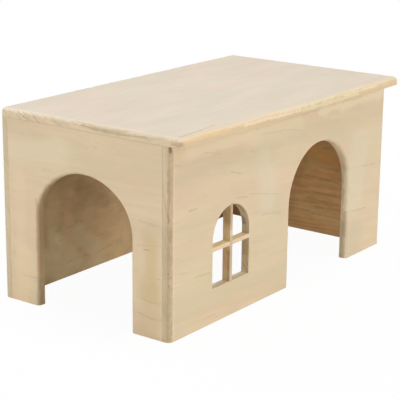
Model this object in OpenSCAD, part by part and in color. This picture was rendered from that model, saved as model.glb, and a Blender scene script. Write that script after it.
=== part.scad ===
// Wooden rabbit house: four wall boards and a roof board, open underneath,
// with a doorway in the front and in the left side and a small barred window.
// +X runs along the length and -Y is the front. The origin lies under the middle
// of the roof, on the surface that the house stands on.

/* [House] */
// Length of the house along X, and of the roof
house_l = 400; // [360:5:500]
// Depth over the front and back panels
body_d = 214; // [190:2:280]
// Height of the walls
wall_h = 191; // [182:1:240]
// Thickness of the four wall boards
wall_t = 9; // [8:0.5:12]
// Thickness of the roof board
roof_t = 9; // [8:0.5:14]
// How far the roof stands out past the front panel
roof_overhang = 16; // [0:1:30]

/* [Front doorway] */
// Width of the front doorway
front_door_w = 120; // [90:2:130]
// Height of the front doorway at its crown
front_door_h = 147; // [110:1:155]
// Board left between the front doorway and the right end of the house
front_door_inset = 75; // [50:1:85]

/* [Side doorway] */
// Width of the side doorway
side_door_w = 120; // [90:2:130]
// Height of the side doorway at its crown
side_door_h = 147; // [110:1:155]
// How much lower the side arch rises than a half circle would
side_arch_drop = 7; // [1:0.5:12]
// How much smaller the radius of the side arch's haunches is than its rise
side_haunch_cut = 4; // [1:0.5:8]

/* [Window] */
// Width of the window
window_w = 62; // [50:1:74]
// Height of the window from its sill to its crown
window_h = 79; // [60:1:110]
// Height of the sill above the ground
sill_h = 36; // [25:1:60]
// Board left between the window and the left end of the house
window_inset = 68; // [50:1:72]
// Face width of the glazing bars
bar_w = 4; // [3:0.5:7]
// How deep the ends of the glazing bars are let into the front panel
bar_housing = 1.5; // [0.5:0.5:3]

/* [Edges] */
// Radius of the rounded corners of the house and of the roof's top edges
outer_r = 4.5; // [1:0.5:6]
// Radius of the rounding round the outside of the doorways
door_edge_r = 4; // [1:0.5:6]
// Width of the small chamfers along the glued joints
arris = 0.4; // [0.2:0.1:1]

/* [Dowels] */
// Diameter of the dowels
dowel_d = 5; // [4:0.5:6]
// Length of the dowels
dowel_l = 20; // [16:1:24]
// Depth of a dowel hole in the face of a board
face_hole_depth = 6; // [4:0.5:7]
// Distance of the outermost dowels from the ends of a joint
dowel_end_dist = 30; // [22:1:40]
// Dowels in each upright corner
corner_dowels = 3; // [2:1:4]
// Dowels between the roof and the front panel, and again the back panel
long_roof_dowels = 4; // [3:1:6]
// Dowels between the roof and each side panel
short_roof_dowels = 2; // [2:1:3]
// Clearance round each dowel and glazing bar for the glue
glue_fit = 0.05; // [0.02:0.01:0.1]
// Room for glue past the end of each dowel
glue_pocket = 0.5; // [0.2:0.1:1]

/* [Hidden] */
wall_wood = [0.86, 0.76, 0.62];
roof_wood = [0.89, 0.83, 0.74];
bar_wood = [0.90, 0.80, 0.67];
dowel_wood = [0.80, 0.66, 0.47];
$fn = 96;
// Overshoot of a cutter past the face that it opens
over = 1;
roof_d = body_d + roof_overhang;
front_y = -roof_d / 2 + roof_overhang;
back_y = roof_d / 2;
side_y = (front_y + back_y) / 2;
side_wall_l = body_d - 2 * wall_t;
front_door_x = house_l / 2 - front_door_inset - front_door_w / 2;
front_spring_h = front_door_h - front_door_w / 2;
side_rise = side_door_w / 2 - side_arch_drop;
side_spring_h = side_door_h - side_rise;
side_haunch_r = side_rise - side_haunch_cut;
window_x = -house_l / 2 + window_inset + window_w / 2;
bar_h = sill_h + window_h / 2;
dowel_chamfer = 0.6;
face_hold = face_hole_depth - glue_pocket;
edge_hole_depth = dowel_l - face_hold + glue_pocket;

function spread(length, count, i) = -length / 2 + dowel_end_dist
    + i * (length - 2 * dowel_end_dist) / (count - 1);
function numbered(name, count) = [for (i = [1:count]) str(name, "_", i)];

// Places of the walls: each is drawn with its outer face on y = 0, its middle
// on x = 0 and its board behind, towards +y
module at_front() translate([0, front_y, 0]) children();
module at_back() translate([0, back_y, 0]) rotate([0, 0, 180]) children();
module at_left() translate([-house_l / 2, side_y, 0]) rotate([0, 0, -90]) children();
module at_right() translate([house_l / 2, side_y, 0]) rotate([0, 0, 90]) children();

// Places of the dowels, on the joint's own plane, with z running into the edge
// of the board that is held by its edge
module corner_dowel_place(end, i)
    translate([end * (house_l - wall_t) / 2, wall_t, wall_h / 2 + spread(wall_h, corner_dowels, i)])
        rotate([-90, 0, 0]) children();
module roof_dowel_place(length, count, i)
    translate([spread(length, count, i), wall_t / 2, wall_h]) rotate([180, 0, 0]) children();

module dowel() translate([0, 0, -face_hold]) {
    cylinder(h = dowel_chamfer, d1 = dowel_d - 2 * dowel_chamfer, d2 = dowel_d);
    translate([0, 0, dowel_chamfer]) cylinder(h = dowel_l - 2 * dowel_chamfer, d = dowel_d);
    translate([0, 0, dowel_l - dowel_chamfer])
        cylinder(h = dowel_chamfer, d1 = dowel_d, d2 = dowel_d - 2 * dowel_chamfer);
}
module dowel_hole() translate([0, 0, -face_hole_depth])
    cylinder(h = face_hole_depth + edge_hole_depth, r = dowel_d / 2 + glue_fit);
module corner_holes(end) for (i = [0:corner_dowels - 1]) corner_dowel_place(end, i) dowel_hole();
module roof_holes(length, count) for (i = [0:count - 1]) roof_dowel_place(length, count, i) dowel_hole();

// A chamfer cut along X, centred on the edge that it takes off
module arris_cut(length) rotate([0, 90, 0])
    linear_extrude(length, center = true) rotate(45) square(arris * sqrt(2), center = true);

// Outline of a board seen along its thickness, with rounded corners
module rounded_outline(length, width, r) {
    square([length - 2 * r, width], center = true);
    square([length, width - 2 * r], center = true);
    for (x = [-1, 1], y = [-1, 1]) translate([x * (length / 2 - r), y * (width / 2 - r)]) circle(r);
}

// A wall as long as the house, whose ends show and are rounded at the corners
module long_wall() difference() {
    linear_extrude(wall_h) difference() {
        translate([-house_l / 2, 0]) square([house_l, wall_t]);
        for (end = [-1, 1]) difference() {
            translate([end * house_l / 2, 0]) square(2 * outer_r, center = true);
            translate([end * (house_l / 2 - outer_r), outer_r]) circle(outer_r);
            translate([end * (house_l / 2 - 3 * outer_r), 0]) square(4 * outer_r, center = true);
            translate([end * house_l / 2, 3 * outer_r]) square(4 * outer_r, center = true);
        }
    }
    for (z = [0, wall_h]) translate([0, 0, z]) arris_cut(house_l + over);
}

// A wall that fits between the front and back panels
module short_wall() difference() {
    translate([-side_wall_l / 2, 0, 0]) cube([side_wall_l, wall_t, wall_h]);
    for (z = [0, wall_h]) translate([0, 0, z]) arris_cut(side_wall_l + over);
    for (x = [-1, 1]) translate([x * side_wall_l / 2, 0, wall_h / 2])
        rotate([0, 90, 0]) arris_cut(wall_h + over);
}

// A flat shape in x and z pushed through a wall
module through_wall() translate([0, wall_t + over, 0])
    rotate([90, 0, 0]) linear_extrude(wall_t + 2 * over) children();

// Half of the section that rounds a doorway's outer edge, from the opening's
// middle line out to the wall's face
module edge_section(half_w) difference() {
    square([half_w + door_edge_r, door_edge_r + over]);
    translate([half_w + door_edge_r, 0]) circle(door_edge_r);
}
module rounded_arc(x, z, r, from, sweep) translate([x, door_edge_r, z])
    rotate([90, 0, 0]) rotate_extrude(angle = sweep, start = from) edge_section(r);
module rounded_legs(w, spring) for (side = [0, 1]) mirror([side, 0, 0])
    translate([0, 0, -over]) linear_extrude(spring + over)
        translate([0, door_edge_r]) mirror([0, 1]) edge_section(w / 2);

// A doorway or window whose top is a half circle
module round_top(w, from, spring) {
    translate([-w / 2, from]) square([w, spring - from]);
    translate([0, spring]) circle(w / 2);
}

module front_doorway() translate([front_door_x, 0, 0]) {
    through_wall() round_top(front_door_w, -over, front_spring_h);
    rounded_legs(front_door_w, front_spring_h);
    rounded_arc(0, front_spring_h, front_door_w / 2, 0, 360);
}

// The side arch is flatter than a half circle: two haunches of a small radius
// and a crown of a larger one, drawn from a centre below the springing
module side_doorway() {
    reach = side_door_w / 2 - side_haunch_r;
    crown_r = (reach * reach + side_rise * side_rise - side_haunch_r * side_haunch_r)
        / (2 * side_haunch_cut);
    crown_z = side_door_h - crown_r;
    turn = atan2(side_spring_h - crown_z, reach);
    far = 2 * crown_r / sin(turn);
    through_wall() {
        translate([-side_door_w / 2, -over]) square([side_door_w, side_spring_h + over]);
        for (side = [-1, 1]) translate([side * reach, side_spring_h]) circle(side_haunch_r);
        translate([0, crown_z]) intersection() {
            circle(crown_r);
            polygon([[0, 0], far * [cos(turn), sin(turn)], far * [-cos(turn), sin(turn)]]);
        }
    }
    rounded_legs(side_door_w, side_spring_h);
    for (side = [-1, 1]) rounded_arc(side * reach, side_spring_h, side_haunch_r, 0, 360);
    rounded_arc(0, crown_z, crown_r, turn, 180 - 2 * turn);
}

module window_opening() translate([window_x, 0, 0])
    through_wall() round_top(window_w, sill_h, sill_h + window_h - window_w / 2);

// The two glazing bars, as long as the housings let them be, seen from the front
module upright_bar_face(grow) translate([window_x - bar_w / 2 - grow, sill_h - bar_housing - grow])
    square([bar_w + 2 * grow, window_h + 2 * bar_housing + 2 * grow]);
module level_bar_face(grow) translate([window_x - window_w / 2 - bar_housing - grow, bar_h - bar_w / 2 - grow])
    square([window_w + 2 * bar_housing + 2 * grow, bar_w + 2 * grow]);
module bar(front, back) translate([0, back, 0])
    rotate([90, 0, 0]) linear_extrude(back - front) children();

module roof_board() color(roof_wood) difference() {
    translate([0, 0, wall_h]) {
        linear_extrude(roof_t - outer_r) rounded_outline(house_l, roof_d, outer_r);
        translate([0, 0, roof_t / 2])
            cube([house_l - 2 * outer_r, roof_d - 2 * outer_r, roof_t], center = true);
        translate([0, 0, roof_t - outer_r]) {
            for (y = [-1, 1]) translate([0, y * (roof_d / 2 - outer_r), 0])
                rotate([0, 90, 0]) cylinder(h = house_l - 2 * outer_r, r = outer_r, center = true);
            for (x = [-1, 1]) translate([x * (house_l / 2 - outer_r), 0, 0])
                rotate([90, 0, 0]) cylinder(h = roof_d - 2 * outer_r, r = outer_r, center = true);
            for (x = [-1, 1], y = [-1, 1])
                translate([x * (house_l / 2 - outer_r), y * (roof_d / 2 - outer_r), 0]) sphere(outer_r);
        }
    }
    at_front() roof_holes(house_l, long_roof_dowels);
    at_back() roof_holes(house_l, long_roof_dowels);
    at_left() roof_holes(side_wall_l, short_roof_dowels);
    at_right() roof_holes(side_wall_l, short_roof_dowels);
}

module front_panel() color(wall_wood) at_front() difference() {
    long_wall();
    front_doorway();
    window_opening();
    through_wall() {
        upright_bar_face(glue_fit);
        level_bar_face(glue_fit);
    }
    for (end = [-1, 1]) corner_holes(end);
    roof_holes(house_l, long_roof_dowels);
}

module back_panel() color(wall_wood) at_back() difference() {
    long_wall();
    for (end = [-1, 1]) corner_holes(end);
    roof_holes(house_l, long_roof_dowels);
}

module left_panel() color(wall_wood) difference() {
    at_left() difference() {
        short_wall();
        side_doorway();
        roof_holes(side_wall_l, short_roof_dowels);
    }
    at_front() corner_holes(-1);
    at_back() corner_holes(1);
}

module right_panel() color(wall_wood) difference() {
    at_right() difference() {
        short_wall();
        roof_holes(side_wall_l, short_roof_dowels);
    }
    at_front() corner_holes(1);
    at_back() corner_holes(-1);
}

// The bars cross in a halved joint: the upright keeps its front half there
module upright_glazing_bar() color(bar_wood) at_front() difference() {
    bar(0, wall_t) upright_bar_face(0);
    bar(wall_t / 2, wall_t + over) level_bar_face(glue_fit);
}
module level_glazing_bar() color(bar_wood) at_front() difference() {
    bar(0, wall_t) level_bar_face(0);
    bar(-over, wall_t / 2) upright_bar_face(glue_fit);
}

module front_left_dowel(i) color(dowel_wood) at_front() corner_dowel_place(-1, i) dowel();
module front_right_dowel(i) color(dowel_wood) at_front() corner_dowel_place(1, i) dowel();
module back_left_dowel(i) color(dowel_wood) at_back() corner_dowel_place(1, i) dowel();
module back_right_dowel(i) color(dowel_wood) at_back() corner_dowel_place(-1, i) dowel();
module roof_front_dowel(i) color(dowel_wood)
    at_front() roof_dowel_place(house_l, long_roof_dowels, i) dowel();
module roof_back_dowel(i) color(dowel_wood)
    at_back() roof_dowel_place(house_l, long_roof_dowels, i) dowel();
module roof_left_dowel(i) color(dowel_wood)
    at_left() roof_dowel_place(side_wall_l, short_roof_dowels, i) dowel();
module roof_right_dowel(i) color(dowel_wood)
    at_right() roof_dowel_place(side_wall_l, short_roof_dowels, i) dowel();

roof_board();
front_panel();
back_panel();
left_panel();
right_panel();
upright_glazing_bar();
level_glazing_bar();
for (i = [0:corner_dowels - 1]) {
    front_left_dowel(i);
    front_right_dowel(i);
    back_left_dowel(i);
    back_right_dowel(i);
}
for (i = [0:long_roof_dowels - 1]) {
    roof_front_dowel(i);
    roof_back_dowel(i);
}
for (i = [0:short_roof_dowels - 1]) {
    roof_left_dowel(i);
    roof_right_dowel(i);
}
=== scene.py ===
from math import atan2, cos, degrees, pi, radians, sin

import bmesh
import bpy
from mathutils import Matrix, Vector, noise


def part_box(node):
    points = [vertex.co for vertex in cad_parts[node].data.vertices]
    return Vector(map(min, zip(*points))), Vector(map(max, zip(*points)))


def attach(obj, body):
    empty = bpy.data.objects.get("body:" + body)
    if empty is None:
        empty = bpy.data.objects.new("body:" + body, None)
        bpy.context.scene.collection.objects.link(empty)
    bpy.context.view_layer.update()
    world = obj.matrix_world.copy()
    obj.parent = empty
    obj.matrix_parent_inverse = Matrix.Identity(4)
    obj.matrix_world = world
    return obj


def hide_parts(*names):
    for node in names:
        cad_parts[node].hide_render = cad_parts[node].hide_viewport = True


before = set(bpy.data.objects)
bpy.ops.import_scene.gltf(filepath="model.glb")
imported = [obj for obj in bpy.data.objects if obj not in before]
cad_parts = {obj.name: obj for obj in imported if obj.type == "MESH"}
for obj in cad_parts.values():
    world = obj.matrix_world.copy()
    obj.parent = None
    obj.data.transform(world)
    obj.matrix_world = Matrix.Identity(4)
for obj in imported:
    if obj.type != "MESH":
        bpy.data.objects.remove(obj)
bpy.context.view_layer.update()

MM = 0.001

# Sizes that the boards share, as the part has them
WALL_T = 9 * MM
OUTER_R = 4.5 * MM  # rounding of the house's outer corners and of the roof
DOOR_EDGE_R = 4 * MM  # rounding of the doorways' outer edges
ARRIS = 0.35 * MM  # easing of a board's square edges
BAR_ARRIS = 0.2 * MM
GLUE_FIT = 0.05 * MM  # room for glue round a dowel or a bar
GLUE_POCKET = 0.5 * MM  # room for glue past a dowel's end
CUT_PAST = 1 * MM  # how far a cutter reaches past what it cuts

# The side doorway's crown is lower than a half circle's by its drop, and the radius of its
# haunches is smaller than its rise by its cut
FRONT_DOOR = {"middle": 65 * MM, "width": 120 * MM, "height": 147 * MM}
SIDE_DOOR = {"width": 120 * MM, "height": 147 * MM, "drop": 7 * MM, "cut": 4 * MM}
WINDOW = {"middle": -101 * MM, "width": 62 * MM, "sill": 36 * MM, "height": 79 * MM}

BARS = ("upright_glazing_bar", "level_glazing_bar")

ROUND_STEPS = 8
ARCH_STEPS = 64
HOLE_STEPS = 32
WAVER = 0.25  # how far a sanded rounding strays, as a share of its radius
WAVER_STEP = 4 * MM
SLOW_WAVES, QUICK_WAVES = 38, 105  # of that straying, to the metre
QUICK_SHARE = 0.6

TOUCHING = 1e-6  # places this close are the same
ON_CUT = 1e-7  # corners this close to a cutting plane lie on it
SAME_PLANE = radians(0.5)
SHARP = radians(40)  # an edge that turns more than this is eased, and shaded as an edge

low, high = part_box("front_panel")
WALL_H = high.z
FRONT_Y = low.y
HOUSE_L = high.x - low.x
BACK_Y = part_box("back_panel")[1].y
SIDE_Y = (FRONT_Y + BACK_Y) / 2

AT_FRONT = Matrix.Translation((0, FRONT_Y, 0))
AT_LEFT = Matrix.Translation((-HOUSE_L / 2, SIDE_Y, 0)) @ Matrix.Rotation(radians(-90), 4, "Z")


# Joinery: blanks, cutters and edges

def blank(corner_low, corner_high):
    """A squared-up board between two corners."""
    bm = bmesh.new()
    bmesh.ops.create_cube(bm, size=1)
    bmesh.ops.scale(bm, vec=corner_high - corner_low, verts=bm.verts)
    bmesh.ops.translate(bm, vec=(corner_low + corner_high) / 2, verts=bm.verts)
    return bm


def round_over(bm, edges, radius, steps):
    bmesh.ops.bevel(bm, geom=edges, offset=radius, offset_type="OFFSET", segments=steps,
                    profile=0.5, affect="EDGES", material=-1, clamp_overlap=False)


def along(edge, axis):
    """Whether an edge runs along an axis, 0 for X, 1 for Y and 2 for Z."""
    step = edge.verts[1].co - edge.verts[0].co
    return abs(step[axis]) > 0.99 * step.length


def middle_of(edge):
    return (edge.verts[0].co + edge.verts[1].co) / 2


def saw_across(bm, axis, start, end, step):
    """Cuts a mesh into strips, so that a long edge can waver."""
    count = max(2, round((end - start) / step))
    normal = Vector([float(i == axis) for i in range(3)])
    for i in range(count + 1):
        place = normal * (start + (end - start) * i / count)
        geom = bm.verts[:] + bm.edges[:] + bm.faces[:]
        bmesh.ops.bisect_plane(bm, geom=geom, dist=ON_CUT, plane_co=place, plane_no=normal)


def waver_edge(bm, corner, axis, start, end, radius, amount, seed):
    """Lets the radius of a rounded edge vary along its length, as hand sanding leaves it.

    The edge runs along axis through corner, and keeps its radius at start and end.
    """
    fade_length = 4 * radius
    for v in bm.verts:
        out = v.co - corner
        out[axis] = 0
        place = v.co[axis]
        if out.length > 1.01 * radius or not start < place < end:
            continue
        fade = min(1, (place - start) / fade_length, (end - place) / fade_length)
        slow = noise.noise((place * SLOW_WAVES, seed, 0))
        quick = noise.noise((place * QUICK_WAVES, seed, 7))
        v.co += out * fade * amount * (slow + QUICK_SHARE * quick)


def arch_cutter(section, start_x, spring, foot, turns):
    """A closed cutter for an arched opening, with x along the wall, y into it and z up.

    section is the edge's shape, as (offset outwards, depth) points. It is swept up one leg,
    round the turns, each (centre x, centre z, degrees, steps), and down the other leg.
    """
    bm = bmesh.new()
    verts = [bm.verts.new((start_x - out, depth, spring)) for out, depth in section]
    left = [bm.edges.new(pair) for pair in zip(verts, verts[1:])]
    last = verts + left
    for x, z, turn, steps in turns:
        last = bmesh.ops.spin(bm, geom=last, cent=(x, 0, z), axis=(0, 1, 0),
                              angle=radians(turn), steps=steps)["geom_last"]
    right = [e for e in last if isinstance(e, bmesh.types.BMEdge)]
    feet = []
    for side in (left, right):
        leg = bmesh.ops.extrude_edge_only(bm, edges=side)["geom"]
        for v in (g for g in leg if isinstance(g, bmesh.types.BMVert)):
            v.co.z = foot
        feet += [g for g in leg if isinstance(g, bmesh.types.BMEdge)
                 and all(abs(v.co.z - foot) < TOUCHING for v in g.verts)]
    bmesh.ops.bridge_loops(bm, edges=feet)
    bmesh.ops.holes_fill(bm, edges=bm.edges, sides=0)
    bmesh.ops.recalc_face_normals(bm, faces=bm.faces)
    return bm


def rounded_section(thickness):
    """Edge of a doorway: a quarter round on the outer face and square on the inner one."""
    quarter = [(DOOR_EDGE_R * (1 - sin(a)), DOOR_EDGE_R * (1 - cos(a)))
               for a in (pi / 2 * i / ROUND_STEPS for i in range(ROUND_STEPS + 1))]
    return [(DOOR_EDGE_R, -CUT_PAST)] + quarter + [(0, thickness + CUT_PAST)]


def front_doorway_cutter():
    """A half circle on two upright legs, that reaches down past the board."""
    half = FRONT_DOOR["width"] / 2
    spring = FRONT_DOOR["height"] - half
    x = FRONT_DOOR["middle"]
    return arch_cutter(rounded_section(WALL_T), x - half, spring, -CUT_PAST,
                       [(x, spring, 180, ARCH_STEPS)])


def side_doorway_cutter():
    """An arch of two haunches of a small radius and a crown of a larger one between them."""
    half = SIDE_DOOR["width"] / 2
    rise = half - SIDE_DOOR["drop"]
    haunch_r = rise - SIDE_DOOR["cut"]
    spring = SIDE_DOOR["height"] - rise
    reach = half - haunch_r
    crown_r = (reach ** 2 + rise ** 2 - haunch_r ** 2) / (2 * SIDE_DOOR["cut"])
    crown_z = SIDE_DOOR["height"] - crown_r
    turn = degrees(atan2(spring - crown_z, reach))
    haunch_steps = round(ARCH_STEPS * turn / 180)
    return arch_cutter(rounded_section(WALL_T), -half, spring, -CUT_PAST, [
        (-reach, spring, turn, haunch_steps),
        (0, crown_z, 180 - 2 * turn, ARCH_STEPS - 2 * haunch_steps),
        (reach, spring, turn, haunch_steps)])


def window_cutter():
    """A half circle on two upright legs, with square edges, that ends at the sill."""
    half = WINDOW["width"] / 2
    spring = WINDOW["sill"] + WINDOW["height"] - half
    x = WINDOW["middle"]
    section = [(0, -CUT_PAST), (0, WALL_T / 2), (0, WALL_T + CUT_PAST)]
    return arch_cutter(section, x - half, spring, WINDOW["sill"],
                       [(x, spring, 180, ARCH_STEPS // 2)])


def dowel_hole_cutters(board):
    """Holes for the dowels that reach into a board, each with its room for glue."""
    board_low, board_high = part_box(board)
    bm = bmesh.new()
    for name in sorted(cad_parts):
        if "_dowel_" not in name:
            continue
        dowel_low, dowel_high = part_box(name)
        if any(dowel_low[i] > board_high[i] or dowel_high[i] < board_low[i] for i in range(3)):
            continue
        size = dowel_high - dowel_low
        axis = max(range(3), key=lambda i: size[i])
        radius = size[(axis + 1) % 3] / 2 + GLUE_FIT
        turn = (Matrix.Rotation(pi / 2, 4, "Y"), Matrix.Rotation(pi / 2, 4, "X"), Matrix())[axis]
        place = Matrix.Translation((dowel_low + dowel_high) / 2) @ turn
        bmesh.ops.create_cone(bm, cap_ends=True, segments=HOLE_STEPS, radius1=radius,
                              radius2=radius, depth=size[axis] + 2 * GLUE_POCKET, matrix=place)
    return bm


def as_object(bm, name):
    mesh = bpy.data.meshes.new(name)
    bm.to_mesh(mesh)
    bm.free()
    piece = bpy.data.objects.new(name, mesh)
    bpy.context.scene.collection.objects.link(piece)
    return piece


def cut(bm, *cutters):
    """Takes the cutters away from a board and gives the board back."""
    piece = as_object(bm, "board_being_cut")
    tools = [as_object(c, "cutter") for c in cutters]
    for tool in tools:
        modifier = piece.modifiers.new("cut", "BOOLEAN")
        modifier.operation = "DIFFERENCE"
        modifier.solver = "EXACT"
        modifier.object = tool
    done = bmesh.new()
    done.from_object(piece, bpy.context.evaluated_depsgraph_get())
    for o in [piece, *tools]:
        mesh = o.data
        bpy.data.objects.remove(o)
        bpy.data.meshes.remove(mesh)
    return done


def ease_arrises(bm, width=ARRIS):
    """Takes the sharpness off every square edge, as fine paper does."""
    bmesh.ops.remove_doubles(bm, verts=bm.verts, dist=TOUCHING)
    bmesh.ops.dissolve_limit(bm, angle_limit=SAME_PLANE, verts=bm.verts, edges=bm.edges,
                             delimit={"NORMAL"})
    sharp = [e for e in bm.edges if e.is_manifold and e.calc_face_angle(0) > SHARP]
    bmesh.ops.bevel(bm, geom=sharp, offset=width, offset_type="OFFSET", segments=2,
                    profile=0.5, affect="EDGES", material=-1, clamp_overlap=True)


def finish_piece(bm, name, node):
    """Makes the finished piece, which stands for its node in the part."""
    piece = as_object(bm, name)
    piece.data.shade_smooth()
    piece.data.set_sharp_from_angle(angle=SHARP)
    weighted = piece.modifiers.new("even shading", "WEIGHTED_NORMAL")
    weighted.mode = "FACE_AREA"
    weighted.weight = 50
    weighted.keep_sharp = True
    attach(piece, "root")
    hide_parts(node)
    return piece


# Boards

def moved(bm, matrix):
    bmesh.ops.transform(bm, matrix=matrix, verts=bm.verts)
    return bm


def roof_board():
    """A flat board with its corners and all its top edges rounded over."""
    corner_low, corner_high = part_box("roof_board")
    bm = blank(corner_low, corner_high)
    top = corner_high.z
    outside = [e for e in bm.edges if along(e, 2) or abs(middle_of(e).z - top) < TOUCHING]
    round_over(bm, outside, OUTER_R, ROUND_STEPS)
    ease_arrises(bm)
    for axis, across in ((0, 1), (1, 0)):
        start, end = corner_low[axis] + OUTER_R, corner_high[axis] - OUTER_R
        saw_across(bm, axis, start, end, WAVER_STEP)
        for seed, side in enumerate((corner_low, corner_high)):
            corner = Vector((0, 0, top))
            corner[across] = side[across]
            waver_edge(bm, corner, axis, start, end, OUTER_R, WAVER, seed + 10 * axis)
    bm = cut(bm, dowel_hole_cutters("roof_board"))
    return finish_piece(bm, "roof", "roof_board")


def front_panel():
    """The front board. Its openings are eased, and its bars' seats and holes are not."""
    corner_low, corner_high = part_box("front_panel")
    bm = blank(corner_low, corner_high)
    round_over(bm, [e for e in bm.edges if along(e, 2) and middle_of(e).y < FRONT_Y + TOUCHING],
               OUTER_R, ROUND_STEPS)
    bm = cut(bm, moved(front_doorway_cutter(), AT_FRONT), moved(window_cutter(), AT_FRONT))
    ease_arrises(bm)
    through = Vector((GLUE_FIT, CUT_PAST, GLUE_FIT))
    for bar in BARS:
        bar_low, bar_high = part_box(bar)
        bm = cut(bm, blank(bar_low - through, bar_high + through))
    bm = cut(bm, dowel_hole_cutters("front_panel"))
    return finish_piece(bm, "front_wall", "front_panel")


def back_panel():
    corner_low, corner_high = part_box("back_panel")
    bm = blank(corner_low, corner_high)
    round_over(bm, [e for e in bm.edges if along(e, 2) and middle_of(e).y > BACK_Y - TOUCHING],
               OUTER_R, ROUND_STEPS)
    ease_arrises(bm)
    bm = cut(bm, dowel_hole_cutters("back_panel"))
    return finish_piece(bm, "back_wall", "back_panel")


def left_panel():
    bm = cut(blank(*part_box("left_panel")), moved(side_doorway_cutter(), AT_LEFT))
    ease_arrises(bm)
    bm = cut(bm, dowel_hole_cutters("left_panel"))
    return finish_piece(bm, "left_end", "left_panel")


def right_panel():
    bm = blank(*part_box("right_panel"))
    ease_arrises(bm)
    bm = cut(bm, dowel_hole_cutters("right_panel"))
    return finish_piece(bm, "right_end", "right_panel")


def glazing_bar(name, node, crossing, front, back):
    """A bar of the window, halved between two depths where the other bar crosses it."""
    cross_low, cross_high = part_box(crossing)
    bm = blank(*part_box(node))
    ease_arrises(bm, BAR_ARRIS)
    notch_low = Vector((cross_low.x - GLUE_FIT, FRONT_Y + front, cross_low.z - GLUE_FIT))
    notch_high = Vector((cross_high.x + GLUE_FIT, FRONT_Y + back, cross_high.z + GLUE_FIT))
    bm = cut(bm, blank(notch_low, notch_high))
    return finish_piece(bm, name, node)


pieces = [
    roof_board(), front_panel(), back_panel(), left_panel(), right_panel(),
    glazing_bar("upright_bar", BARS[0], BARS[1], WALL_T / 2, WALL_T + CUT_PAST),
    glazing_bar("level_bar", BARS[1], BARS[0], -CUT_PAST, WALL_T / 2),
]


# Node trees in short words

def feed(tree, node, inputs):
    """Fills a node's inputs with values or with other nodes' outputs.

    An input goes by its name, or by its place as _0, _1 and so on.
    """
    for key, value in inputs.items():
        socket = node.inputs[int(key[1:]) if key[0] == "_" else key.replace("_", " ")]
        if isinstance(value, bpy.types.NodeSocket):
            tree.links.new(value, socket)
        else:
            socket.default_value = value


def add(tree, kind, setup=None, **inputs):
    """A node with its settings and inputs."""
    node = tree.nodes.new("ShaderNode" + kind)
    for key, value in (setup or {}).items():
        setattr(node, key, value)
    feed(tree, node, inputs)
    return node


def maths(tree, operation, *values):
    inputs = {f"_{i}": value for i, value in enumerate(values)}
    return add(tree, "Math", {"operation": operation}, **inputs).outputs[0]


def vectors(tree, operation, *values):
    inputs = {f"_{i}": value for i, value in enumerate(values)}
    node = add(tree, "VectorMath", {"operation": operation}, **inputs)
    return node.outputs["Value" if operation in ("LENGTH", "DOT_PRODUCT") else "Vector"]


def ramp(tree, value, start, end, low=0.0, high=1.0):
    """A smooth step of a value from low to high, clamped at both ends."""
    node = add(tree, "MapRange", {"interpolation_type": "SMOOTHSTEP"}, Value=value,
               From_Min=start, From_Max=end, To_Min=low, To_Max=high)
    return node.outputs[0]


def scaled(tree, vector, factor):
    return add(tree, "VectorMath", {"operation": "SCALE"}, _0=vector, Scale=factor).outputs[0]


def between(tree, share, first, second):
    """Two numbers mixed by a share from 0 to 1."""
    return add(tree, "Mix", {"data_type": "FLOAT"}, _0=share, _2=first, _3=second).outputs[0]


def blend(tree, share, first, second):
    """Two colours mixed by a share from 0 to 1."""
    return add(tree, "Mix", {"data_type": "RGBA"}, _0=share, _6=first, _7=second).outputs[2]


def stretched_noise(tree, place, scale, detail=2.0, roughness=0.5):
    """Noise drawn out along the grain. scale is in waves to the metre, along X, Y and Z."""
    node = add(tree, "TexNoise", Vector=vectors(tree, "MULTIPLY", place, scale), Scale=1.0,
               Detail=detail, Roughness=roughness)
    return node.outputs["Fac"], node.outputs["Color"]


def effect(name, inputs, outputs):
    """An empty group with named sockets, and its two end nodes."""
    tree = bpy.data.node_groups.new(name, "ShaderNodeTree")
    for direction, sockets in (("INPUT", inputs), ("OUTPUT", outputs)):
        for label, kind in sockets.items():
            tree.interface.new_socket(label, in_out=direction, socket_type="NodeSocket" + kind)
    return tree, tree.nodes.new("NodeGroupInput").outputs, tree.nodes.new("NodeGroupOutput").inputs


def use(tree, group, **inputs):
    """The outputs of an effect with these inputs."""
    node = tree.nodes.new("ShaderNodeGroup")
    node.node_tree = group
    feed(tree, node, inputs)
    return node.outputs


# Effects of the wood, each built once

NOISE_SPAN = (0.3, 0.7)  # where nearly all of a noise's values lie


def make_grown_place():
    """A place in the tree: the grain wanders as it grew, more across than along."""
    tree, given, made = effect("grown_place", {"Place": "Vector", "Wander": "Float"},
                               {"Place": "Vector"})
    slow = stretched_noise(tree, given["Place"], (2.2, 9, 9), 1.0)[1]
    quick = stretched_noise(tree, given["Place"], (11, 38, 38), 1.0)[1]
    quick_share = 0.3
    mean = 0.5 + 0.5 * quick_share
    drift = vectors(tree, "MULTIPLY_ADD", quick, (quick_share,) * 3, slow)
    drift = scaled(tree, vectors(tree, "SUBTRACT", drift, (mean,) * 3), given["Wander"])
    tree.links.new(vectors(tree, "ADD", given["Place"], drift), made["Place"])
    return tree


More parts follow.
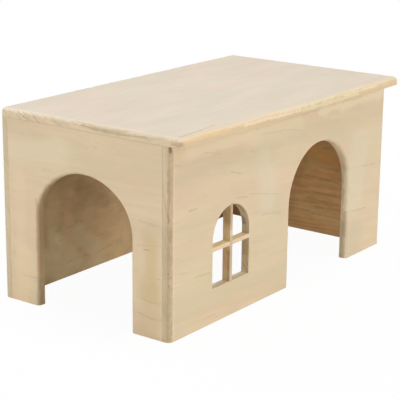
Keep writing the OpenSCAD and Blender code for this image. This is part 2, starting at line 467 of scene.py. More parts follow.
def make_growth_rings():
    """Growth rings about the pith, which lies along X: pale early wood, then a dark late line."""
    tree, given, made = effect("growth_rings", {"Place": "Vector", "Ring Width": "Float"},
                               {"Late Wood": "Float"})
    radius = vectors(tree, "LENGTH", vectors(tree, "MULTIPLY", given["Place"], (0, 1, 1)))
    count = maths(tree, "DIVIDE", radius, given["Ring Width"])
    seasons = add(tree, "TexNoise", {"noise_dimensions": "1D"}, Scale=1.0, Detail=1.0,
                  W=maths(tree, "MULTIPLY", count, 0.45)).outputs["Fac"]
    count = maths(tree, "MULTIPLY_ADD", seasons, 1.6, count)
    phase = maths(tree, "FRACT", count)
    year = add(tree, "TexWhiteNoise", {"noise_dimensions": "1D"},
               W=maths(tree, "FLOOR", count)).outputs["Value"]
    darkens, ends = ramp(tree, phase, 0.15, 0.8), ramp(tree, phase, 0.82, 1.0, 1.0, 0.0)
    line = maths(tree, "MULTIPLY", darkens, ends)
    strength = maths(tree, "MULTIPLY_ADD", year, 0.7, 0.3)
    tree.links.new(maths(tree, "MULTIPLY", line, strength), made["Late Wood"])
    return tree


def make_fibres():
    """Fine fibres and the short dark dashes of resin canals."""
    tree, given, made = effect("fibres", {"Place": "Vector", "Dash Share": "Float"},
                               {"Fibre": "Float", "Dash": "Float"})
    place = given["Place"]
    fine = stretched_noise(tree, place, (45, 900, 900), 2.0, 0.6)[0]
    broad = stretched_noise(tree, place, (14, 240, 240), 2.0, 0.6)[0]
    tree.links.new(between(tree, 0.45, broad, fine), made["Fibre"])
    dashes = []
    for cells in ((21, 300, 300), (52, 520, 520)):
        grid = add(tree, "TexVoronoi", Vector=vectors(tree, "MULTIPLY", place, cells), Scale=1.0)
        luck = add(tree, "SeparateColor", Color=grid.outputs["Color"]).outputs[0]
        there = maths(tree, "LESS_THAN", luck, given["Dash Share"])
        near = ramp(tree, grid.outputs["Distance"], 0.05, 0.30, 1.0, 0.0)
        dashes.append(maths(tree, "MULTIPLY", near, there))
    patch = stretched_noise(tree, place, (6, 22, 22), 1.0)[0]
    tree.links.new(maths(tree, "MULTIPLY", maths(tree, "MAXIMUM", *dashes),
                         ramp(tree, patch, 0.42, 0.58)), made["Dash"])
    return tree


def make_clouds():
    """Slow drifts of tone and of hue along a board, and smaller blotches."""
    tree, given, made = effect("clouds", {"Place": "Vector"},
                               {"Tone": "Float", "Hue": "Float", "Blotch": "Float"})
    colour = stretched_noise(tree, given["Place"], (12, 34, 34), 2.0, 0.55)[1]
    drifts = add(tree, "SeparateColor", Color=colour).outputs
    for drift, label in zip(drifts, ("Tone", "Hue")):
        tree.links.new(ramp(tree, drift, *NOISE_SPAN), made[label])
    small = stretched_noise(tree, given["Place"], (55, 120, 120), 3.0, 0.6)[0]
    tree.links.new(ramp(tree, small, *NOISE_SPAN), made["Blotch"])
    return tree


def make_end_grain():
    """How far the surface is turned to the ends of the fibres, and the pores that show there."""
    tree, given, made = effect("end_grain", {"Place": "Vector", "Along The Grain": "Vector",
                                             "Full": "Float"}, {"Share": "Float", "Pores": "Float"})
    facing = add(tree, "TexCoord").outputs["Normal"]
    turned = maths(tree, "ABSOLUTE", vectors(tree, "DOT_PRODUCT", facing, given["Along The Grain"]))
    share = ramp(tree, turned, maths(tree, "SUBTRACT", given["Full"], 0.4), given["Full"])
    specks = stretched_noise(tree, given["Place"], (300, 420, 420), 2.0, 0.7)[0]
    tree.links.new(share, made["Share"])
    tree.links.new(maths(tree, "MULTIPLY", share, ramp(tree, specks, 0.56, 0.74)), made["Pores"])
    return tree


def make_facing():
    """How far the surface faces one way, such as the inside of the house, for the tint that paints
    shade or light on that side. Sway holds it back.
    """
    tree, given, made = effect("facing", {"Way": "Vector", "Sway": "Float"}, {"Share": "Float"})
    turned = vectors(tree, "DOT_PRODUCT", add(tree, "TexCoord").outputs["Normal"], given["Way"])
    held = maths(tree, "MULTIPLY_ADD", given["Sway"], -0.25, turned)
    tree.links.new(ramp(tree, held, 0.25, 0.75), made["Share"])
    return tree


def make_edge_wear_and_shading():
    """Where the surface turns between two flats, broken up as handling leaves it. The tint it
    carries is wear, and on some boards painted light or shade on the roundings.
    """
    tree, given, made = effect("edge_wear_and_shading", {"Place": "Vector"}, {"Share": "Float"})
    facing = add(tree, "TexCoord").outputs["Normal"]
    parts = add(tree, "SeparateXYZ", Vector=vectors(tree, "ABSOLUTE", facing)).outputs
    flat = maths(tree, "MAXIMUM", maths(tree, "MAXIMUM", parts[0], parts[1]), parts[2])
    patchy = add(tree, "TexNoise", Vector=given["Place"], Scale=90.0, Detail=2.0).outputs["Fac"]
    tree.links.new(maths(tree, "MULTIPLY", ramp(tree, flat, 0.80, 0.97, 1.0, 0.0),
                         ramp(tree, patchy, 0.35, 0.65, 0.35, 1.0)), made["Share"])
    return tree


def make_mark():
    """A stroke between two points, uneven along its length.

    Thinness, at least 1 along each axis, keeps a broad stroke from reaching through the board.
    """
    tree, given, made = effect("mark", {"Place": "Vector", "Start": "Vector", "End": "Vector",
                                        "Width": "Float", "Thinness": "Vector"}, {"Share": "Float"})
    stroke = vectors(tree, "SUBTRACT", given["End"], given["Start"])
    reach = vectors(tree, "MULTIPLY", vectors(tree, "SUBTRACT", given["Place"], given["Start"]),
                    given["Thinness"])
    share = maths(tree, "DIVIDE", vectors(tree, "DOT_PRODUCT", reach, stroke),
                  vectors(tree, "DOT_PRODUCT", stroke, stroke))
    share = add(tree, "Clamp", Value=share).outputs[0]
    away = vectors(tree, "LENGTH", vectors(tree, "SUBTRACT", reach, scaled(tree, stroke, share)))
    uneven = add(tree, "TexNoise", Vector=given["Place"], Detail=1.0,
                 Scale=maths(tree, "DIVIDE", 0.4, given["Width"])).outputs["Fac"]
    width = maths(tree, "MULTIPLY", given["Width"], ramp(tree, uneven, *NOISE_SPAN, 0.5, 1.25))
    away = maths(tree, "DIVIDE", away, width)
    tree.links.new(ramp(tree, away, 0.2, 1.0, 1.0, 0.0), made["Share"])
    return tree


GROWN_PLACE = make_grown_place()
GROWTH_RINGS = make_growth_rings()
FIBRES = make_fibres()
CLOUDS = make_clouds()
END_GRAIN = make_end_grain()
FACING = make_facing()
EDGE_WEAR_AND_SHADING = make_edge_wear_and_shading()
MARK = make_mark()


def make_softwood():
    """Pale sawn softwood, from a place whose X runs along the pith."""
    tree, given, made = effect("softwood", {
        "Place": "Vector", "Along The Grain": "Vector", "Tinted Way": "Vector",
        "Early Colour": "Color", "Late Colour": "Color", "Dash Colour": "Color",
        "End Tint": "Color", "Edge Tint": "Color", "Tint": "Color",
        "Ring Width": "Float", "Wander": "Float", "End Full": "Float",
        "Face Contrast": "Float", "Tinted Contrast": "Float", "End Contrast": "Float",
        "Dash Share": "Float", "Dash Strength": "Float", "Blotches": "Float", "Drift": "Float"},
        {"Colour": "Color", "Roughness": "Float", "Height": "Float"})
    place = use(tree, GROWN_PLACE, Place=given["Place"], Wander=given["Wander"])["Place"]
    late = use(tree, GROWTH_RINGS, Place=place, Ring_Width=given["Ring Width"])["Late Wood"]
    fibres = use(tree, FIBRES, Place=place, Dash_Share=given["Dash Share"])
    clouds = use(tree, CLOUDS, Place=place)
    end = use(tree, END_GRAIN, Place=place, Along_The_Grain=given["Along The Grain"],
              Full=given["End Full"])
    tinted = use(tree, FACING, Way=given["Tinted Way"], Sway=late)["Share"]
    edge = use(tree, EDGE_WEAR_AND_SHADING, Place=place)["Share"]

    contrast = between(tree, tinted, given["Face Contrast"], given["Tinted Contrast"])
    contrast = between(tree, end["Share"], contrast, given["End Contrast"])
    colour = blend(tree, maths(tree, "MULTIPLY", late, contrast), given["Early Colour"],
                   given["Late Colour"])
    drift = between(tree, given["Drift"], 0.5, clouds["Hue"])
    hue = blend(tree, drift, (1.02, 0.985, 0.985, 1), (0.98, 1.0, 0.965, 1))
    colour = vectors(tree, "MULTIPLY", colour, hue)
    cloud = maths(tree, "MULTIPLY_ADD", maths(tree, "SUBTRACT", clouds["Tone"], 0.5),
                  maths(tree, "MULTIPLY", given["Drift"], 0.05), 1.0)
    blotch = maths(tree, "MULTIPLY", maths(tree, "SUBTRACT", clouds["Blotch"], 0.5),
                   given["Blotches"])
    tone = maths(tree, "MULTIPLY", ramp(tree, fibres["Fibre"], *NOISE_SPAN, 0.97, 1.02), cloud)
    tone = maths(tree, "MULTIPLY", tone, maths(tree, "MULTIPLY_ADD", blotch, tinted, 1.0))
    colour = scaled(tree, colour, tone)
    dark = maths(tree, "MULTIPLY", maths(tree, "MAXIMUM", fibres["Dash"], end["Pores"]),
                 given["Dash Strength"])
    colour = blend(tree, dark, colour, given["Dash Colour"])
    # End grain takes its own tint; the edge tint is wear with painted light or shade on roundings,
    # and the facing tint paints shade or light on one side
    for share, tint in ((end["Share"], "End Tint"), (edge, "Edge Tint"), (tinted, "Tint")):
        colour = blend(tree, share, colour, vectors(tree, "MULTIPLY", colour, given[tint]))
    tree.links.new(colour, made["Colour"])

    rough = maths(tree, "MULTIPLY_ADD", fibres["Fibre"], 0.16, 0.5)
    rough = maths(tree, "MULTIPLY_ADD", end["Share"], 0.12, rough)
    tree.links.new(maths(tree, "MULTIPLY_ADD", edge, -0.06, rough), made["Roughness"])
    ridges = maths(tree, "MULTIPLY", late, maths(tree, "MULTIPLY_ADD", end["Share"], 2.0, 0.4))
    height = maths(tree, "MULTIPLY_ADD", fibres["Fibre"], 0.8, ridges)
    tree.links.new(maths(tree, "MULTIPLY_ADD", dark, -1.0, height), made["Height"])
    return tree


SOFTWOOD = make_softwood()


def srgb(red, green, blue):
    """A colour as read off a screen, from 0 to 255, in the renderer's own terms."""
    def linear(c):
        c /= 255
        return c / 12.92 if c <= 0.04045 else ((c + 0.055) / 1.055) ** 2.4
    return (linear(red), linear(green), linear(blue), 1)


X_AXIS, Y_AXIS, Z_AXIS = (1, 0, 0), (0, 1, 0), (0, 0, 1)
# Turns that bring the pith's own X onto the board's grain
TURN_TO = {X_AXIS: (0, 0, 0), Y_AXIS: (0, 0, pi / 2), Z_AXIS: (0, -pi / 2, 0)}
SHINE = 0.3
BUMP_STRENGTH = 0.35
BUMP_DEPTH = 0.12 * MM
BROAD_MARK = 5  # a mark wider than this, in millimetres, is thinned

# What each board's wood has, unless its own line says otherwise
PLAIN_WOOD = {
    "Ring_Width": 5 * MM, "Wander": 12 * MM, "Early_Colour": srgb(224, 203, 170),
    "Late_Colour": srgb(193, 158, 113), "Face_Contrast": 0.08, "Tinted_Contrast": 0.25,
    "End_Contrast": 0.6, "End_Full": 0.85, "End_Tint": (0.93, 0.94, 0.94, 1),
    "Dash_Colour": srgb(150, 112, 74), "Dash_Share": 0.07, "Dash_Strength": 0.22,
    # Tint makes the faces that look the tinted way, the inner faces on most boards, darker and
    # warmer: painted shade inside the house
    "Blotches": 0.1, "Drift": 1.0, "Tint": (0.98, 0.88, 0.72, 1),
    "Edge_Tint": (0.98, 0.975, 0.95, 1),
}


def board_wood(name, grain, pith, tilt=(0, 0), marks=(), **values):
    """The wood of one board, from PLAIN_WOOD and what its own values change.

    pith is a point on the tree's middle, and tilt how the pith leans off the board's length,
    in degrees. A mark is (start, end, width, thinness, strength, colour).
    """
    made = bpy.data.materials.new(name)
    made.use_nodes = True
    tree = made.node_tree
    lean = {X_AXIS: (0, *tilt), Y_AXIS: (tilt[0], 0, tilt[1]), Z_AXIS: (*tilt, 0)}[grain]
    turn = Vector(TURN_TO[grain]) + Vector([radians(angle) for angle in lean])
    on_board = add(tree, "TexCoord").outputs["Object"]
    place = add(tree, "Mapping", {"vector_type": "TEXTURE"}, Vector=on_board,
                Location=pith, Rotation=turn).outputs[0]
    wood = use(tree, SOFTWOOD, Place=place, Along_The_Grain=grain, **{**PLAIN_WOOD, **values})
    colour = wood["Colour"]
    for start, end, width, thinness, strength, mark_colour in marks:
        share = use(tree, MARK, Place=on_board, Start=start, End=end, Width=width,
                    Thinness=thinness)["Share"]
        colour = blend(tree, maths(tree, "MULTIPLY", share, strength), colour, srgb(*mark_colour))
    shader = tree.nodes["Principled BSDF"]
    shader.inputs["Specular IOR Level"].default_value = SHINE
    tree.links.new(colour, shader.inputs["Base Color"])
    tree.links.new(wood["Roughness"], shader.inputs["Roughness"])
    bump = add(tree, "Bump", Strength=BUMP_STRENGTH, Distance=BUMP_DEPTH, Height=wood["Height"])
    tree.links.new(bump.outputs[0], shader.inputs["Normal"])
    return made


# Marks of growth, tools and handling, and painted light and shade, in millimetres on the faces that
# carry them

# The deepest brown paints both shadow under the roof and dark end-grain strokes; the cream paints a
# highlight
DARK, BROWN, OLIVE, RED = (120, 92, 60), (165, 130, 92), (176, 158, 124), (190, 120, 88)
UMBER, SHADOW_AND_GRAIN_DARK, CREAM = (104, 68, 36), (104, 80, 48), (240, 222, 188)


def strokes(square_to, at, *rows):
    """Marks on the face that lies at one place along an axis, 0 for X, 1 for Y and 2 for Z.

    A row is two points on the face, a width, a strength from 0 to 1 and a colour.
    """
    def on_face(point):
        place = [value * MM for value in point]
        place.insert(square_to, at)
        return Vector(place)

    def thinness(width):
        thin = Vector((1, 1, 1))
        thin[square_to] = max(1, width / BROAD_MARK)
        return thin

    return [(on_face(start), on_face(end), width * MM, thinness(width), strength, colour)
            for start, end, width, strength, colour in rows]


roof_low, roof_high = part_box("roof_board")
ROOF_MARKS = strokes(
    2, roof_high.z,
    # Along the top of the front edge: pale strokes, a painted highlight on the rounding that wavers
    # along it; then a paler patch and thin brown and red lines
    ((-199, -108.5), (-110, -107), 5.5, 0.65, (238, 212, 172)),
    ((-110, -107.5), (198, -108.5), 4, 0.45, (238, 218, 178)),
    ((-30, -62), (12, -74), 9, 0.35, (230, 214, 178)),
    ((-193, -104), (-159, -102.3), 1.8, 0.42, (180, 126, 88)),
    ((-159, -102.3), (-132, -99.2), 1.6, 0.28, RED),
) + strokes(
    1, roof_low.y + 1.4 * MM,
    # On the front rounding: pale strokes, more painted highlight
    ((-197, 198.6), (-130, 198.6), 3, 0.72, (236, 200, 150)),
    ((-130, 198.6), (-40, 198.6), 3, 0.50, (240, 214, 172)),
    ((-40, 198.6), (60, 198.7), 3.2, 0.55, (242, 226, 192)),
    ((60, 198.7), (196, 198.6), 3.0, 0.45, (240, 222, 182)),
) + strokes(
    1, roof_low.y,
    # On the front face: pale strokes, a painted highlight where the face turns into the rounding,
    # between two thin brown lines
    ((-84, 193.8), (-52, 192.8), 0.9, 0.15, BROWN),
    ((-104, 196.8), (-60, 196.8), 2.2, 0.45, (250, 232, 200)),
    ((-60, 196), (-5, 195), 2.2, 0.50, (250, 232, 200)),
    ((0, 194.3), (110, 194.3), 3.4, 0.45, (242, 224, 186)),
    ((80, 197), (150, 197), 1.8, 0.45, (248, 228, 186)),
    ((-153, 192.8), (-113, 192.4), 0.8, 0.20, BROWN),
) + strokes(
    0, roof_low.x + 1.2 * MM,
    # Along the left rounding: darker strokes, painted shade that tones down its highlight
    ((80, 198.7), (20, 198.7), 2.2, 0.22, (214, 194, 154)),
    ((20, 198.7), (-106, 198.7), 2.4, 0.42, (214, 194, 156)),
) + strokes(
    0, roof_low.x,
    # On the left end: a brown patch at the overhang, then olive dashes that are ring lines with
    # painted shade between the raised rings
    ((-101, 194.3), (-110, 194.3), 4, 0.45, (172, 140, 104)),
    ((102.5, 194.8), (98.5, 192.8), 1.4, 0.30, OLIVE),
    ((92, 195.2), (87, 191.9), 1.6, 0.45, OLIVE),
    ((84, 194.8), (75.5, 192.5), 1.6, 0.45, OLIVE),
    ((70, 196.2), (62, 191.3), 1.6, 0.50, OLIVE),
    ((45, 196.2), (36, 192.5), 1.4, 0.50, OLIVE),
    ((37, 194.3), (31, 190.5), 1.2, 0.45, OLIVE),
    ((8, 197), (-6, 195.1), 1.6, 0.50, OLIVE),
    ((-6, 195.1), (-21, 194.8), 2.8, 0.55, OLIVE),
    ((-21, 194.8), (-45, 194.5), 2.4, 0.50, OLIVE),
    ((-45, 194.5), (-72, 196), 1.8, 0.45, OLIVE),
)
FRONT_MARKS = strokes(
    0, -HOUSE_L / 2 + 1.5 * MM,
    # A dark spot at the top of the corner: painted shadow under the roof's overhang
    ((-98, 191), (-98.2, 186.5), 2.6, 0.85, SHADOW_AND_GRAIN_DARK),
) + strokes(
    0, -HOUSE_L / 2 + 0.7 * MM,
    # Down the corner's rounding: darker brown bands, and a broad greyer one on the strip, darker
    # towards the bottom; the short dark strokes follow the end grain
    ((-97.3, 187), (-96.7, 120), 2.6, 0.50, BROWN),
    ((-96.7, 125), (-96.7, 3), 2.8, 0.35, BROWN),
    ((-94.5, 110), (-94.5, 3), 9, 0.30, (160, 145, 115)),
    ((-92.7, 72.5), (-97.5, 68.5), 0.9, 0.50, SHADOW_AND_GRAIN_DARK),
    ((-97, 57.5), (-98.4, 52), 1.0, 0.50, SHADOW_AND_GRAIN_DARK),
    ((-91.5, 80), (-95, 74), 0.8, 0.35, BROWN),
    ((-91.5, 44), (-95.5, 36), 0.9, 0.40, BROWN),
) + strokes(
    0, -HOUSE_L / 2 + 2 * MM,
    ((-98.3, 189), (-98.3, 100), 2.0, 0.35, BROWN),
    ((-98.3, 110), (-98.3, 3), 2.4, 0.40, BROWN),
) + strokes(
    0, FRONT_DOOR["middle"] + FRONT_DOOR["width"] / 2 + 0.4 * MM,
    # On the doorway's right jamb: a pale stroke, painted light on the reveal, then darker towards
    # the foot; the small dark strokes are pits
    ((-95.8, 104), (-96, 58), 5, 0.65, (250, 236, 202)),
    ((-93.5, 40), (-92.5, 2), 5, 0.35, (150, 134, 104)),
    ((-95.7, 101), (-97, 97.5), 0.7, 0.50, DARK),
    ((-91.5, 90), (-92.5, 86.5), 0.6, 0.40, DARK),
    ((-92.5, 63), (-94, 57), 0.7, 0.50, DARK),
    ((-94, 56.5), (-96.5, 54.5), 0.7, 0.50, DARK),
    ((-94.3, 48), (-94.4, 45), 0.6, 0.40, DARK),
) + strokes(
    2, WINDOW["sill"],
    # A pale band along the sill: painted light
    ((-131, -92), (-71, -92), 5.5, 0.85, (244, 238, 206)),
) + strokes(
    1, FRONT_Y,
    ((128.8, 97.4), (129.3, 96.2), 0.6, 0.50, DARK),
    # A pale line where the corner's rounding meets the face: painted highlight; then a brown band
    # down the corner
    ((-194.2, 170), (-194.2, 4), 1.3, 0.30, CREAM),
    ((-196.4, 186), (-196.4, 2), 1.8, 0.34, BROWN),
    # Under the roof at the corner: painted shadow
    ((-197, 191), (-186, 190), 3, 0.40, BROWN),
    # Along the top of the wall under the overhang: painted shadow
    ((-176, 185.5), (-60, 183.8), 2.6, 0.14, (190, 154, 112)),
    ((-60, 183.8), (104, 184.2), 2.6, 0.18, (186, 150, 108)),
    ((106, 184), (145, 183.8), 3, 0.45, (180, 146, 102)),
    ((145, 184), (190, 185.4), 3, 0.22, (186, 150, 108)),
    # Wide pale strokes below it: painted light; then broad paler patches up high and greyer ones
    # near the foot
    ((60, 181), (192, 181), 10, 0.30, (250, 236, 206)),
    ((-170, 179), (20, 177), 16, 0.24, (246, 232, 202)),
    ((-45, 150), (-38, 105), 26, 0.25, (232, 224, 200)),
    ((-190, 30), (-20, 24), 34, 0.25, (206, 194, 160)),
    ((148, 128), (146, 66), 30, 0.25, (228, 222, 196)),
    ((140, 30), (140, 2), 26, 0.25, (200, 194, 166)),
    ((-147, 176), (-121, 170), 1.3, 0.17, BROWN),
    ((-103, 148.5), (-85, 143), 1.3, 0.26, BROWN),
    ((-193, 173), (-184, 170), 1.2, 0.17, BROWN),
    ((-71, 163), (-61, 160), 1.2, 0.17, BROWN),
    ((-51, 176), (-13, 173), 1, 0.20, BROWN),
    ((-12, 174), (24, 167), 1, 0.17, BROWN),
    ((-172, 124), (-158, 124), 1.6, 0.26, BROWN),
    ((-94, 120), (-75, 117), 1.2, 0.22, BROWN),
    ((-70, 119), (-19, 108), 0.9, 0.20, BROWN),
    ((-160, 55.5), (-136, 54), 1.6, 0.22, BROWN),
    ((-184, 65), (-169, 63.5), 1.2, 0.17, BROWN),
    ((-47, 92), (-14, 87), 2.3, 0.15, BROWN),
    ((135, 54), (167, 51.5), 1.2, 0.22, BROWN),
    ((154, 102.5), (183, 100), 1.3, 0.22, BROWN),
    ((-144, 9.5), (-127, 8.5), 0.9, 0.22, BROWN),
) + strokes(
    1, FRONT_Y + 2 * MM,
    ((104, 134), (118, 117), 3, 0.20, (170, 150, 120)),
) + strokes(
    1, FRONT_Y + 4 * MM,
    # Up in the window's arch: dark strokes, painted shade
    ((-75, 101), (-82, 108.3), 6, 0.42, (150, 120, 80)),
    ((-82, 108.3), (-88, 112.2), 6, 0.30, (150, 120, 80)),
) + strokes(
    0, WINDOW["middle"] + WINDOW["width"] / 2,
    # On the window's right reveal: darker up in the arch, painted shade; paler near the sill,
    # painted light bounced off it; then small dark strokes
    ((-92, 110), (-92, 88), 5.5, 0.58, (134, 110, 80)),
    ((-94.5, 75), (-94.5, 58), 8, 0.42, (190, 160, 104)),
    ((-94.5, 52), (-94.5, 38), 7, 0.50, (240, 214, 170)),
    ((-92, 46), (-97, 38), 1.0, 0.45, DARK),
    ((-95, 52), (-98, 44), 0.8, 0.40, DARK),
)
LEFT_MARKS = strokes(
    0, -HOUSE_L / 2,
    ((60, 144.6), (49.5, 145.3), 1.3, 0.20, BROWN),
    ((89, 176), (83, 177.5), 0.9, 0.14, BROWN),
    ((6, 175.5), (-3, 177), 1, 0.14, BROWN),
    ((-5, 178), (-10, 177), 1.4, 0.20, BROWN),
    ((-27, 180.5), (-35, 181.7), 0.9, 0.12, BROWN),
    ((102, 115.4), (93.5, 115.8), 0.9, 0.12, BROWN),
    ((-68, 87.7), (-74, 88.2), 1.2, 0.38, DARK),
    ((93, 46.3), (78, 47.3), 0.9, 0.17, BROWN),
    ((90, 29), (70, 29.7), 1.6, 0.26, BROWN),
    ((-73, 60.4), (-87.4, 62), 1, 0.22, BROWN),
    ((-67, 38.5), (-75.4, 36.4), 1.4, 0.24, BROWN),
    ((-75.4, 36.4), (-86, 37.4), 1.4, 0.24, BROWN),
    ((-61, 23.5), (-78, 20.3), 1.4, 0.26, BROWN),
    ((-78, 20.3), (-90, 22), 1.6, 0.20, BROWN),
    ((-63.5, 115), (-87, 113.4), 3, 0.13, BROWN),
    ((-60, 90.5), (-85, 94.5), 1.4, 0.14, BROWN),
    ((92, 14.3), (83, 15), 0.9, 0.14, BROWN),
    ((-76, 94), (-76, 50), 20, 0.42, (202, 178, 122)),
    ((-78, 50), (-74, 4), 22, 0.38, (202, 178, 132)),
    ((98, 160), (40, 168), 22, 0.25, (244, 230, 200)),
    ((92, 130), (90, 60), 18, 0.30, (238, 214, 178)),
    ((90, 50), (90, 2), 18, 0.45, (240, 214, 174)),
) + strokes(
    1, SIDE_Y + SIDE_DOOR["width"] / 2 + 1 * MM,
    # On the side doorway's back jamb: a dark line by its rounding and darker towards the foot:
    # painted shade
    ((-199, 112), (-199, 30), 2.4, 0.45, (180, 154, 112)),
    ((-197.5, 26), (-197.5, 2), 5, 0.40, (156, 134, 108)),
)
RIGHT_MARKS = strokes(
    0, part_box("right_panel")[0].x,
    # On the inner face: broad orange up high, painted warm shade, and paler strokes near the floor,
    # painted light; the thin umber and orange streaks are grain
    ((15, 108), (-55, 92), 16, 0.55, (226, 166, 90)),
    ((6, 25), (-60, 16), 16, 0.48, (238, 206, 150)),
    ((112, 10), (84, 6), 12, 0.60, (246, 226, 176)),
    ((2, 86), (10, 58), 12, 0.28, (168, 126, 80)),
    ((-22, 137), (-44, 139), 8, 0.30, (214, 176, 124)),
    ((-2, 68.5), (-22, 68), 2.4, 0.18, UMBER),
    ((-22, 68), (-50, 65), 2.4, 0.20, UMBER),
    ((-13, 49.5), (-44, 48.8), 2.1, 0.20, UMBER),
    ((-5, 41.5), (-33, 39.3), 2.0, 0.17, UMBER),
    ((19, 25), (-9, 24.8), 1.9, 0.20, UMBER),
    ((-12, 23.2), (-52, 22.7), 2.1, 0.17, UMBER),
    ((-25, 81), (-46, 81), 3.3, 0.17, UMBER),
    ((7, 53.4), (-6, 54.2), 2.1, 0.20, UMBER),
    ((-26, 105.5), (-38, 106), 2.1, 0.17, UMBER),
    ((-16, 32), (-28, 32), 2.8, 0.17, UMBER),
    ((-14, 76), (-40, 73), 4.8, 0.35, (222, 148, 88)),
    ((-44, 92), (-56, 80), 6, 0.40, (222, 148, 88)),
    ((-40, 34), (-56, 31), 4.8, 0.40, (222, 148, 88)),
)
BACK_MARKS = strokes(
    1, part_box("back_panel")[0].y,
    # On the inner face: pale broad strokes low on the left, a painted pool of light; darker broad
    # strokes up in the middle, painted shade; the thin dark strokes are grain
    ((-138, 84), (-142, 34), 16, 0.38, (236, 216, 160)),
    ((-137, 52), (-130, 32), 14, 0.42, (252, 238, 190)),
    ((-14, 46), (-14, 18), 12, 0.35, (236, 214, 168)),
    ((-165, 34), (-122, 12), 30, 0.60, (254, 240, 194)),
    ((-128, 46), (-98, 14), 20, 0.52, (254, 238, 192)),
    ((-98, 44), (-66, 14), 18, 0.32, (250, 238, 200)),
    ((-112, 10), (-70, 4), 15, 0.35, (244, 230, 190)),
    ((-114, 86), (-110, 45), 14, 0.35, (248, 212, 166)),
    ((-126, 112), (-100, 102), 18, 0.22, (160, 128, 92)),
    ((-90, 92), (-50, 70), 18, 0.36, (160, 126, 90)),
    ((-116, 82), (-92, 74), 14, 0.25, (160, 116, 84)),
    ((-148, 76), (-132, 72), 12, 0.25, (232, 206, 158)),
    ((-145, 83), (-100, 92), 4, 0.20, (232, 206, 158)),
    ((-124, 89), (-112, 87), 2.6, 0.09, DARK),
    ((-93, 77), (-77, 70), 2.6, 0.09, DARK),
    ((-125, 75), (-116, 72), 3.0, 0.09, DARK),
    ((-116, 55.5), (-106, 55.5), 2.0, 0.12, DARK),
    ((-101, 60), (-87, 56), 2.0, 0.12, DARK),
    ((-67, 34.5), (-54, 34), 1.7, 0.14, DARK),
    ((-133, 55.3), (-125, 55.6), 1.4, 0.15, DARK),
    ((-127, 43.8), (-119, 44.1), 1.4, 0.14, DARK),
    ((-62, 16), (-52, 17), 1.4, 0.17, DARK),
    ((-49, 18.4), (-40, 18.6), 1.4, 0.14, DARK),
    ((-114, 16.7), (-107, 17.3), 1.6, 0.19, DARK),
    ((-101, 17.8), (-78, 16.5), 1.4, 0.14, DARK),
)
BAR_MARKS = strokes(
    0, WINDOW["middle"] - 2 * MM,
    # On the upright bar's left side: darker up in the arch, painted shade; paler just above the
    # level bar and at the sill, painted bounced light
    ((-94.5, 116), (-94.5, 100), 12, 0.70, (188, 156, 110)),
    ((-94.5, 84), (-94.5, 78), 8, 0.80, (252, 226, 180)),
    ((-97, 66), (-97, 37), 3.2, 0.55, (160, 132, 92)),
    ((-91.5, 44), (-91.5, 36), 7, 0.60, (252, 232, 182)),
)
DOWEL_PITH = (13 * MM, 21 * MM, 17 * MM)
DOWEL_WOOD = {"Early_Colour": srgb(214, 188, 150), "Ring_Width": 2.4 * MM}

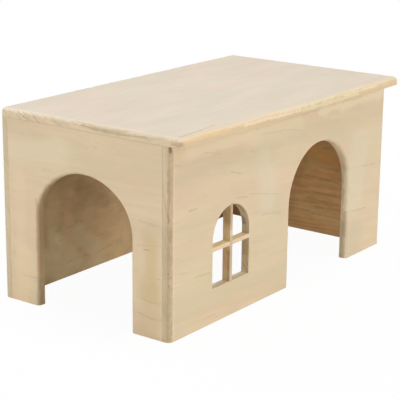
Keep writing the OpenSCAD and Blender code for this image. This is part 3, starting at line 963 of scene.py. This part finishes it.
WOODS = {
    # The roof's top faces are tinted paler and cooler, a painted sheen; its roundings a little
    # darker and yellower, wear and painted shade that tones down their highlight
    "roof": board_wood("roof_board_wood", X_AXIS, (0, -30 * MM, 400 * MM), (0.4, -0.6), ROOF_MARKS,
                       Early_Colour=srgb(222, 198, 161), Late_Colour=srgb(176, 150, 112),
                       Face_Contrast=0.07, Tinted_Contrast=0.02, End_Contrast=0.3,
                       End_Tint=(1.06, 1.10, 1.2, 1), Ring_Width=5.5 * MM, Dash_Share=0.05,
                       Blotches=0.0, Drift=0.9, Edge_Tint=(0.98, 0.95, 0.84, 1),
                       Tinted_Way=(-0.08, 0.3, 0.95), Tint=(1.10, 1.25, 1.65, 1)),
    # The front's roundings are tinted lighter, a painted highlight; its inner face darker and
    # warmer, painted shade
    "front_wall": board_wood("front_board_wood", X_AXIS, (0.3, -330 * MM, 150 * MM), (4.5, 0.8),
                             FRONT_MARKS, End_Full=1.0, End_Contrast=0.4,
                             End_Tint=(0.94, 0.95, 0.96, 1), Edge_Tint=(1.1, 1.1, 1.08, 1),
                             Tinted_Way=(0, 1, 0)),
    # The back's inner face is tinted a little darker and warmer: painted shade
    "back_wall": board_wood("back_board_wood", X_AXIS, (-0.4, 260 * MM, 40 * MM), (1.2, -0.5),
                            BACK_MARKS, Blotches=0.13, End_Contrast=0.3,
                            End_Tint=(0.92, 0.97, 0.96, 1), Tinted_Way=(0, -1, 0),
                            Tint=(1.03, 0.94, 0.78, 1)),
    # The left end's roundings are tinted darker, painted shade on the side doorway; its inner face
    # darker and warmer, painted shade
    "left_end": board_wood("left_board_wood", Y_AXIS, (-350 * MM, 0.2, 60 * MM), (1.0, 0.5),
                           LEFT_MARKS, End_Full=0.95, End_Tint=(0.85, 0.79, 0.69, 1),
                           Edge_Tint=(0.84, 0.82, 0.76, 1), Tinted_Way=(1, 0, 0)),
    # The right end's inner face is tinted darker and orange: painted warm shade
    "right_end": board_wood("right_board_wood", Y_AXIS, (330 * MM, 0.1, 90 * MM), (0.8, 1.0),
                            RIGHT_MARKS, Ring_Width=3 * MM, Tinted_Contrast=0.38, Blotches=0.16,
                            Late_Colour=srgb(176, 128, 80), Tinted_Way=(-1, 0, 0),
                            Tint=(1.06, 0.84, 0.58, 1)),
    # The upright bar's left side is tinted lighter: painted light
    "upright_bar": board_wood("upright_bar_wood", Z_AXIS, (-60 * MM, -60 * MM, 0),
                              marks=BAR_MARKS, Early_Colour=srgb(208, 186, 153),
                              Tinted_Way=(-1, 0, 0), Tint=(1.39, 1.29, 1.13, 1)),
    # The level bar's top is tinted lighter: painted light on a bar that sits in shade
    "level_bar": board_wood("level_bar_wood", X_AXIS, (0, -40 * MM, 30 * MM),
                            Early_Colour=srgb(233, 209, 172), Tinted_Way=Z_AXIS,
                            Tint=(1.2, 1.26, 1.15, 1)),
    "level_dowel": board_wood("level_dowel_wood", Y_AXIS, DOWEL_PITH, **DOWEL_WOOD),
    "upright_dowel": board_wood("upright_dowel_wood", Z_AXIS, DOWEL_PITH, **DOWEL_WOOD),
}
for piece in pieces:
    piece.data.materials.append(WOODS[piece.name])
for name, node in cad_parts.items():
    if "_dowel_" in name:
        node_low, node_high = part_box(name)
        upright = node_high.z - node_low.z > node_high.y - node_low.y
        node.data.materials.clear()
        node.data.materials.append(WOODS["upright_dowel" if upright else "level_dowel"])


# Stage, light and camera

CAMERA_AZIMUTH = -53.684
CAMERA_ELEVATION = 15.858
CAMERA_ROLL = 0.586
CAMERA_DISTANCE = 1.389
CAMERA_TARGET = Vector((-69.32, -36.90, 101.47)) * MM
CAMERA_LENS = 121.95
SENSOR_WIDTH = 36


def towards(azimuth, elevation):
    """The direction from the house to an azimuth, 0 in front of it, and an elevation."""
    a, e = radians(azimuth), radians(elevation)
    return Vector((sin(a) * cos(e), -cos(a) * cos(e), sin(e)))


def make_camera():
    """The photograph's own view, fitted to the straight edges that show in it."""
    back = towards(CAMERA_AZIMUTH, CAMERA_ELEVATION)
    right = Vector((cos(radians(CAMERA_AZIMUTH)), sin(radians(CAMERA_AZIMUTH)), 0))
    up = back.cross(right)
    roll = radians(CAMERA_ROLL)
    right, up = cos(roll) * right + sin(roll) * up, cos(roll) * up - sin(roll) * right
    data = bpy.data.cameras.new("camera")
    data.sensor_width = SENSOR_WIDTH
    data.lens = CAMERA_LENS
    data.clip_start, data.clip_end = 0.05, 20
    camera = bpy.data.objects.new("camera", data)
    place = Matrix((right, up, back)).transposed().to_4x4()
    place.translation = CAMERA_TARGET + back * CAMERA_DISTANCE
    camera.matrix_world = place
    bpy.context.scene.collection.objects.link(camera)
    bpy.context.scene.camera = camera


FLOOR_SIZE = 6.0
FLOOR_WHITE = 0.9
FLOOR_GLOW_SHARE = 0.96  # how much of the shadow the camera doesn't see
SHADOW_REACH = 0.3
ROOM_LIGHT = 0.11

# name, azimuth, elevation, distance, size, watts
SOFTBOXES = (
    ("left_softbox", -100, 8, 2.2, 0.9, 15.4),
    ("near_left_softbox", -45, 12, 4.0, 2.0, 16.5),
    ("right_softbox", 24, 14, 4.0, 2.0, 65),
    ("overhead_softbox", 0, 75, 2.2, 1.2, 27.4),
    ("rear_softbox", 180, 50, 2.2, 1.2, 16),
)


def make_floor():
    """A pale floor that shows white to the camera and keeps a share of the house's shadow."""
    bm = bmesh.new()
    bmesh.ops.create_grid(bm, x_segments=1, y_segments=1, size=FLOOR_SIZE / 2)
    floor = as_object(bm, "floor")
    material = bpy.data.materials.new("white_floor")
    material.use_nodes = True
    tree = material.node_tree
    tree.nodes.clear()
    matt = add(tree, "BsdfDiffuse", Color=(FLOOR_WHITE, FLOOR_WHITE, FLOOR_WHITE, 1))
    glow = add(tree, "Emission", Color=(1, 1, 1, 1), Strength=1.0)
    seen = add(tree, "LightPath").outputs["Is Camera Ray"]
    away = vectors(tree, "LENGTH", add(tree, "TexCoord").outputs["Object"])
    share = ramp(tree, away, SHADOW_REACH, 2 * SHADOW_REACH, FLOOR_GLOW_SHARE, 1.0)
    mix = add(tree, "MixShader", _0=maths(tree, "MULTIPLY", seen, share),
              _1=matt.outputs[0], _2=glow.outputs[0])
    add(tree, "OutputMaterial", Surface=mix.outputs[0])
    floor.data.materials.append(material)


def make_room():
    """A little even light from all round, and white where the camera sees past the floor."""
    world = bpy.data.worlds.new("studio")
    bpy.context.scene.world = world
    world.use_nodes = True
    tree = world.node_tree
    soft = tree.nodes["Background"]
    soft.inputs["Color"].default_value = (1, 1, 1, 1)
    soft.inputs["Strength"].default_value = ROOM_LIGHT
    white = add(tree, "Background", Color=(1, 1, 1, 1), Strength=1.0)
    mix = add(tree, "MixShader", _0=add(tree, "LightPath").outputs["Is Camera Ray"],
              _1=soft.outputs[0], _2=white.outputs[0])
    tree.links.new(mix.outputs[0], tree.nodes["World Output"].inputs["Surface"])


def make_softbox(name, azimuth, elevation, distance, size, watts):
    """A square softbox turned to the middle of the house."""
    data = bpy.data.lights.new(name, "AREA")
    data.shape = "SQUARE"
    data.size = size
    data.energy = watts
    lamp = bpy.data.objects.new(name, data)
    way = towards(azimuth, elevation)
    lamp.location = Vector((0, 0, WALL_H / 2)) + way * distance
    lamp.rotation_mode = "QUATERNION"
    lamp.rotation_quaternion = way.to_track_quat("Z", "Y")
    bpy.context.scene.collection.objects.link(lamp)


make_camera()
make_floor()
make_room()
for softbox in SOFTBOXES:
    make_softbox(*softbox)
bpy.context.scene.view_settings.view_transform = "Standard"
